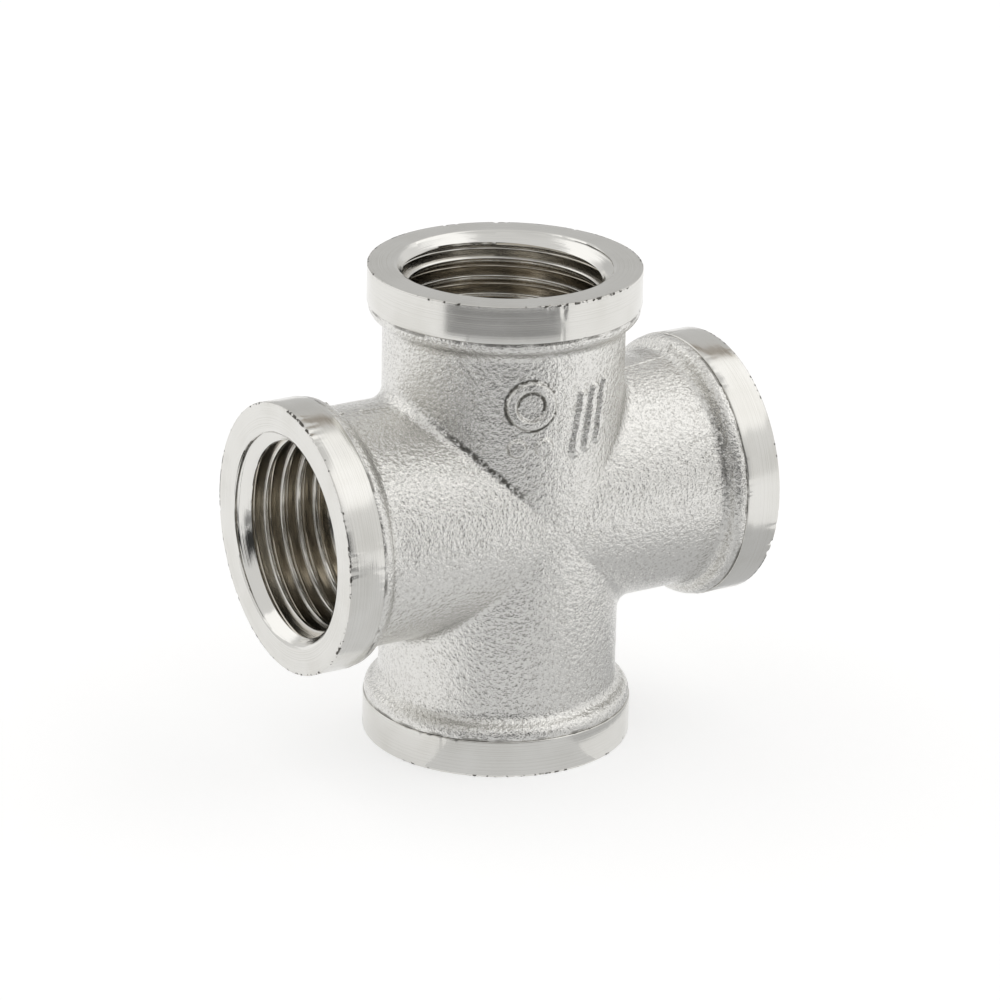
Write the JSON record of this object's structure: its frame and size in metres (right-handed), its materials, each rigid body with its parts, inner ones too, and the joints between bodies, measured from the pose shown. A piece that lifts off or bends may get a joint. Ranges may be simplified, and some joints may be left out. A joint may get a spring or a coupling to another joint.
{
  "type": "pipe cross fitting",
  "caption": "Equal pipe cross: a forged and plated body with an internally threaded, collared socket at each end of two crossing runs.",
  "frame": {"origin": "where the axes of the four ends cross, at the middle of the fitting", "axes": "+Z along the vertical run to the top end, +X along the other run to the right end, Y square to both runs"},
  "size_m": [0.048, 0.0264, 0.048],
  "materials": {
    "forged_body": "hot forged brass, shot blasted to a fine satin grain and nickel plated; the tapped bores carry the same plating",
    "turned_collar": "turned brass, bright nickel plated, with fine lines round the axis"
  },
  "bodies": {
    "root": {"hub": "forged_body", "top_socket": "forged_body", "right_socket": "forged_body", "bottom_socket": "forged_body", "left_socket": "forged_body", "top_collar": "turned_collar", "right_collar": "turned_collar", "bottom_collar": "turned_collar", "left_collar": "turned_collar"}
  },
  "joints": []
}
